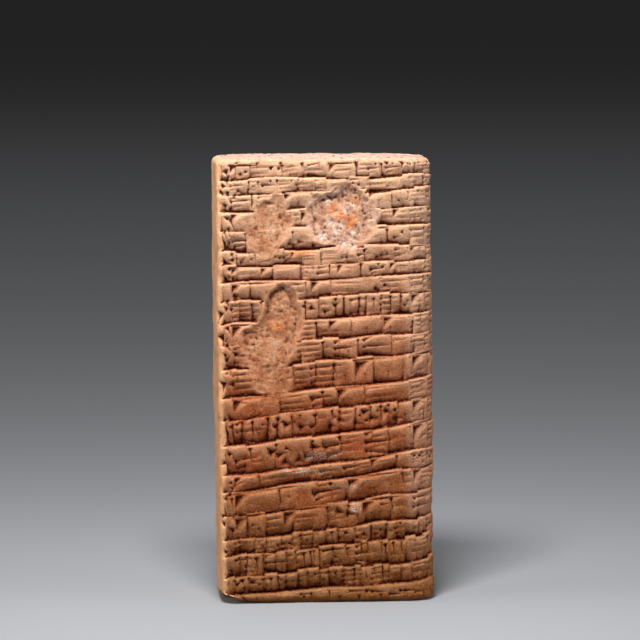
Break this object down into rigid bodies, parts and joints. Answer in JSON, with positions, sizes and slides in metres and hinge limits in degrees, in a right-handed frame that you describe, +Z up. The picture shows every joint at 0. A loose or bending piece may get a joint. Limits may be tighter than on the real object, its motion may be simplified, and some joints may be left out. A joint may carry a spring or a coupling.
{
  "type": "cuneiform tablet",
  "caption": "Tall block-shaped clay tablet with rounded corners, ruled rows of shallow wedge strokes on its faces, worn hollows and a chipped lower corner; it stands on its flat lower end.",
  "frame": {"origin": "middle of the flat lower end that the tablet stands on", "axes": "+Z up the tablet's long way, -Y out of the written front, +X to the right of someone reading it"},
  "size_m": [0.0522, 0.0291, 0.1056],
  "materials": {
    "clay": "unglazed, matt and slightly gritty, tan at the top to red brown and ochre below"
  },
  "bodies": {
    "root": {"tablet": "clay"}
  },
  "joints": []
}
